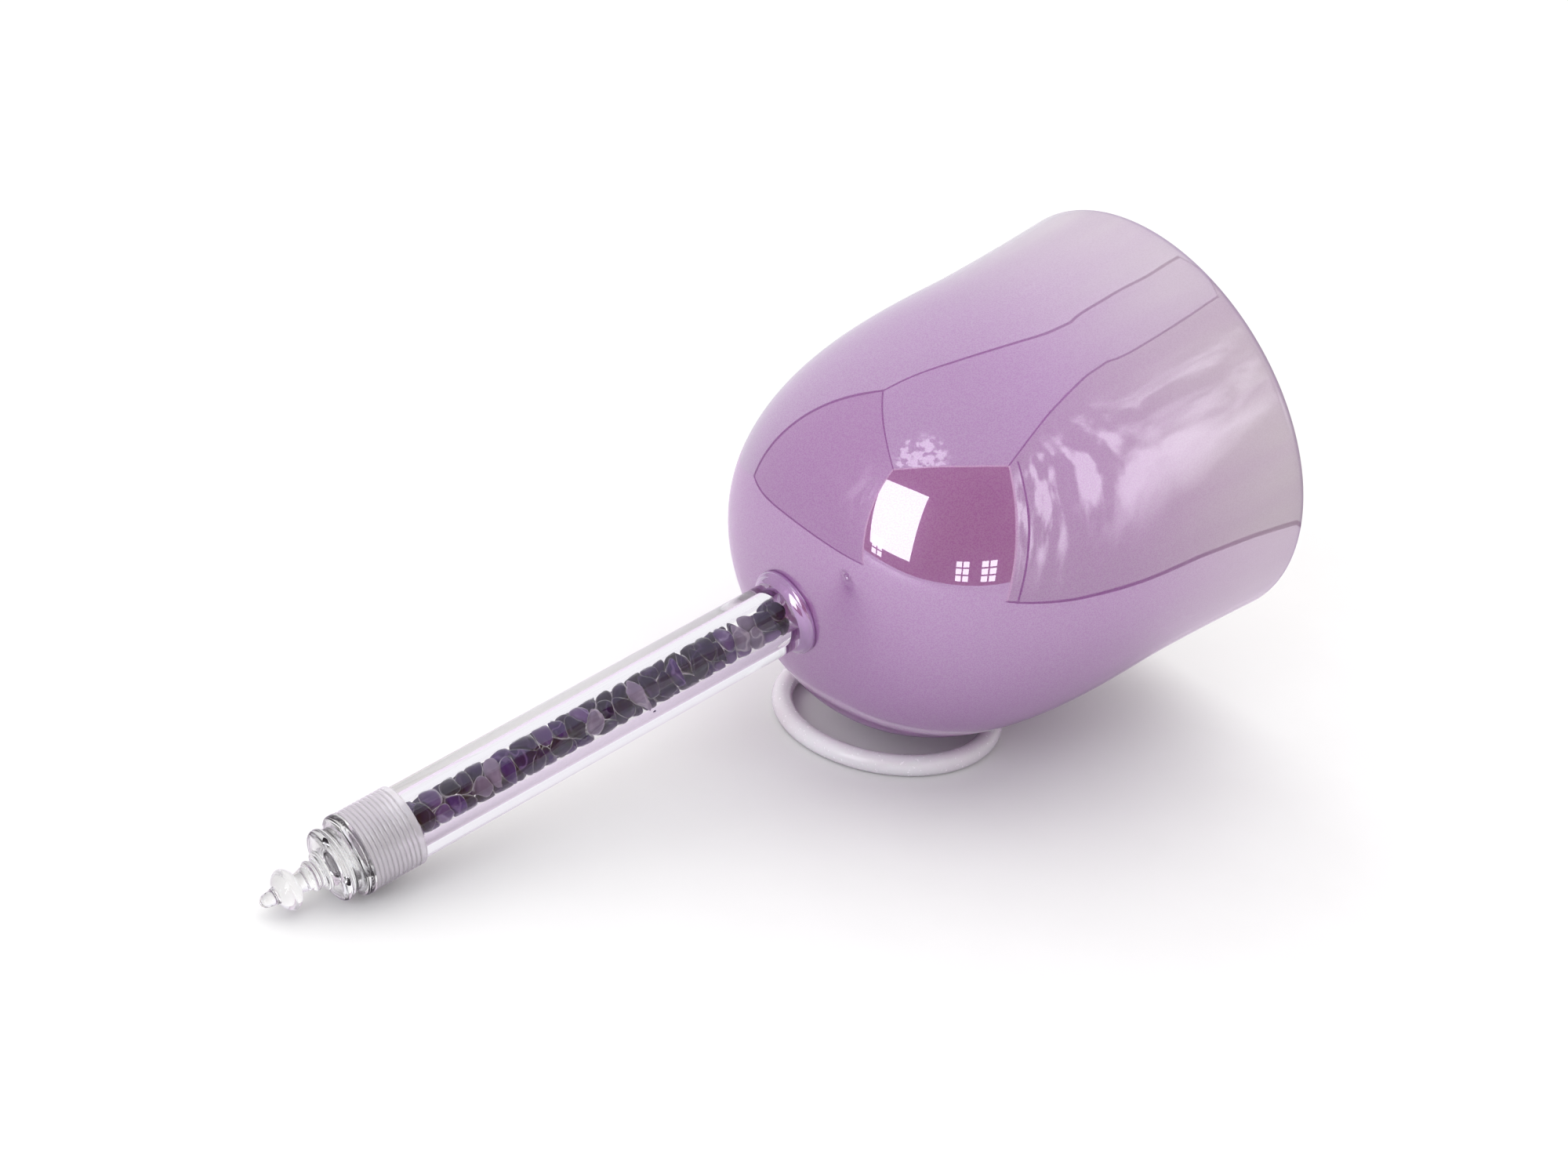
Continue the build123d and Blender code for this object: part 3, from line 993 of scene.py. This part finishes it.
# %% Grow the stones
def grow_stone(name, dark, light, vein, clearness):
    material, tree = start_material(name)
    here = object_place(tree)
    depth = put(tree, "ShaderNodeAttribute", attribute_name="stone").outputs["Fac"]
    zones = smooth_step(tree, noise(tree, here, 170, 3), 0.3, 0.75)
    share = calculate(tree, "MULTIPLY", calculate(tree, "ADD", depth, zones), 0.5)
    body = blend_colours(tree, share, dark, light)
    ridge = calculate(tree, "ABSOLUTE", calculate(tree, "SUBTRACT", noise(tree, here, 95, 2), 0.5))
    veins = smooth_step(tree, ridge, 0.028, 0.0)
    veined = blend_colours(tree, calculate(tree, "MULTIPLY", veins, 0.45), body, vein)
    end_material(tree, "ShaderNodeBsdfPrincipled", {
        "Base Color": veined,
        "Roughness": calculate(tree, "ADD", calculate(tree, "MULTIPLY", zones, 0.06), 0.03),
        "IOR": 1.54,
        "Specular IOR Level": 0.15,
        "Transmission Weight": clearness,
        "Normal": bump(tree, noise(tree, here, 420, 2), 0.0001, 0.2),
    })
    return material


stones = {
    "deep_amethyst": ((0.004, 0.001, 0.014, 1), (0.030, 0.007, 0.075, 1), (0.09, 0.05, 0.14, 1), 0.0),
    "violet_amethyst": ((0.010, 0.002, 0.036, 1), (0.080, 0.020, 0.190, 1), (0.24, 0.14, 0.36, 1), 0.1),
    "lilac_amethyst": ((0.050, 0.018, 0.120, 1), (0.220, 0.110, 0.320, 1), (0.46, 0.36, 0.55, 1), 0.2),
    "milky_quartz": ((0.110, 0.070, 0.150, 1), (0.340, 0.260, 0.380, 1), (0.62, 0.55, 0.62, 1), 0.2),
}
stone_finishes = {name: grow_stone(name, *recipe) for name, recipe in stones.items()}
print("stones:", ", ".join(stone_finishes))

# %% [markdown]
# ## Tumble the chips
#
# The CAD chips are cut stones with flat faces. A tumbler rounds real ones, and a subdivision
# surface does the same: every flat face is rounded towards its middle. Each chip is a separate
# island of the mesh, so the tree can give each one its own random number, and swell it about
# its own middle to make up for what the rounding took off.


# %% Build the tumbler
tumbler, given = new_tree("Tumbler", {
    "Chips": "Geometry",
    "Rounds": "Int",
    "Swell": "Float",
    "Dents": "Float",
    "Seed": "Int",
    "Finish": "Material",
})
island = put(tumbler, "GeometryNodeInputMeshIsland").outputs["Island Index"]
draw = put(tumbler, "FunctionNodeRandomValue", {"ID": island, "Seed": given["Seed"]})
marked = put(tumbler, "GeometryNodeStoreNamedAttribute", {
    "Geometry": given["Chips"],
    "Name": "stone",
    "Value": draw.outputs["Value"],
}, data_type="FLOAT", domain="POINT")
rounded = put(tumbler, "GeometryNodeSubdivisionSurface", {
    "Mesh": marked.outputs[0],
    "Level": given["Rounds"],
})
swollen = put(tumbler, "GeometryNodeScaleElements", {
    "Geometry": rounded.outputs[0],
    "Scale": given["Swell"],
}, domain="FACE")
lumps = put(tumbler, "ShaderNodeTexNoise", {"Scale": 260.0, "Detail": 1.0}).outputs["Fac"]
depth = calculate(tumbler, "MULTIPLY", calculate(tumbler, "SUBTRACT", lumps, 0.5), given["Dents"])
outward = put(tumbler, "GeometryNodeInputNormal").outputs[0]
push = put(tumbler, "ShaderNodeVectorMath", {0: outward, "Scale": depth}, operation="SCALE")
dented = put(tumbler, "GeometryNodeSetPosition", {
    "Geometry": swollen.outputs[0],
    "Offset": push.outputs[0],
})
polished = put(tumbler, "GeometryNodeSetShadeSmooth", {"Geometry": dented.outputs[0]})
end_tree(tumbler, polished.outputs[0], given["Finish"])
print("the tumbler has", len(tumbler.nodes), "nodes")

# %% [markdown]
# ## From cut chips to tumbled chips
#
# A CAD mesh is loose triangles. A copy of it is merged, and triangles that lie in one plane are
# joined back into the flat faces that the cutter left, because the subdivision rounds whole
# faces evenly and slivers badly.


# %% Tumble each colour of stone
def tumble(node, slot, seed):
    chips = bmesh.new()
    chips.from_mesh(frame["nodes"][node].data)
    bmesh.ops.remove_doubles(chips, verts=chips.verts, dist=1e-6)
    bmesh.ops.dissolve_limit(
        chips, angle_limit=math.radians(1), verts=chips.verts, edges=chips.edges
    )
    bmesh.ops.recalc_face_normals(chips, faces=chips.faces)
    mesh = bpy.data.meshes.new(node)
    chips.to_mesh(mesh)
    chips.free()
    piece = new_piece(node + "_tumbled", mesh)
    apply_nodes(piece, tumbler, {
        "Rounds": 2,
        "Swell": 1.09,
        "Dents": 0.4 * MM,
        "Seed": seed,
        "Finish": stone_finishes[slot],
    })
    piece.visible_glossy = False
    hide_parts(node)
    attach(piece, "chips")
    print(f"{piece.name}: {len(piece.data.polygons)} faces")


tumble("deep_amethyst_chips", "deep_amethyst", 3)
tumble("violet_amethyst_chips", "violet_amethyst", 5)
tumble("lilac_amethyst_chips", "lilac_amethyst", 7)
tumble("milky_quartz_chips", "milky_quartz", 11)

# %% [markdown]
# ## The size of the model
#
# The box of the CAD model and the box of the finished model are both measured, and their sizes
# are printed in millimetres.

# %% Print the sizes
made_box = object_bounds()
sizes = {
    "cad": [list(corner) for corner in cad_box],
    "visual": [list(corner) for corner in made_box],
}
for label, (low, high) in sizes.items():
    print(label, [round((top - bottom) / MM, 1) for bottom, top in zip(low, high)])
